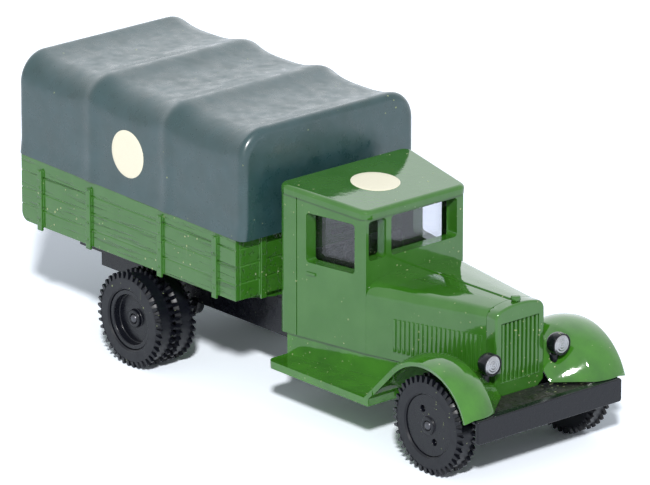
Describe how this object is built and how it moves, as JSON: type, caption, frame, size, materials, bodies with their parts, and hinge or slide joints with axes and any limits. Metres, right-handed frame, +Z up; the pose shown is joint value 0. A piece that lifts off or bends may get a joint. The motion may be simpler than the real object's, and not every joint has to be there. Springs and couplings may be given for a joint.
{
  "type": "scale model of a covered military cargo truck",
  "caption": "Small moulded-plastic model of an old bonneted cargo truck with a boarded load bed under a hard arched cover; both wheel sets roll.",
  "frame": {"origin": "middle of the model's box, on the surface under its tyres", "axes": "+X to the front of the truck, +Y to its left side, +Z up"},
  "size_m": [0.07, 0.0254, 0.0297],
  "materials": {
    "green_plastic": "glossy moulded",
    "cover_plastic": "satin moulded",
    "black_plastic": "satin moulded",
    "tyre_plastic": "satin moulded",
    "clear_plastic": "clear, slightly grey",
    "lens_silver": "silver paint",
    "axle_steel": "bright wire"
  },
  "bodies": {
    "truck": {"bed_floor": "green_plastic", "bed_headboard": "green_plastic", "bed_side_left": "green_plastic", "bed_side_right": "green_plastic", "bed_sills": "black_plastic", "bed_tailgate": "green_plastic", "bonnet": "green_plastic", "cab_back": "green_plastic", "cab_floor": "green_plastic", "cab_front": "green_plastic", "cab_glazing": "clear_plastic", "cab_roof": "green_plastic", "cab_seat": "black_plastic", "cab_side_left": "green_plastic", "cab_side_right": "green_plastic", "chassis_frame": "black_plastic", "cover": "cover_plastic", "fender_left": "green_plastic", "fender_right": "green_plastic", "front_apron": "black_plastic", "front_bumper": "black_plastic", "headlamp_left": "black_plastic", "headlamp_lens_left": "lens_silver", "headlamp_lens_right": "lens_silver", "headlamp_right": "black_plastic", "radiator": "green_plastic", "radiator_cap": "green_plastic", "steering_wheel": "black_plastic"},
    "front_wheels": {"front_axle": "axle_steel", "front_tyre_left": "tyre_plastic", "front_tyre_right": "tyre_plastic", "front_wheel_left": "black_plastic", "front_wheel_right": "black_plastic"},
    "rear_wheels": {"rear_axle": "axle_steel", "rear_tyre_inner_left": "tyre_plastic", "rear_tyre_inner_right": "tyre_plastic", "rear_tyre_outer_left": "tyre_plastic", "rear_tyre_outer_right": "tyre_plastic", "rear_wheel_left": "black_plastic", "rear_wheel_right": "black_plastic"}
  },
  "joints": [
    {"name": "front_wheels_roll", "type": "hinge", "parent": "truck", "child": "front_wheels", "pos_m": [0.02791, 0, 0.00515], "axis": [0, 1, 0], "continuous": true},
    {"name": "rear_wheels_roll", "type": "hinge", "parent": "truck", "child": "rear_wheels", "pos_m": [-0.01588, 0, 0.00515], "axis": [0, 1, 0], "continuous": true}
  ]
}
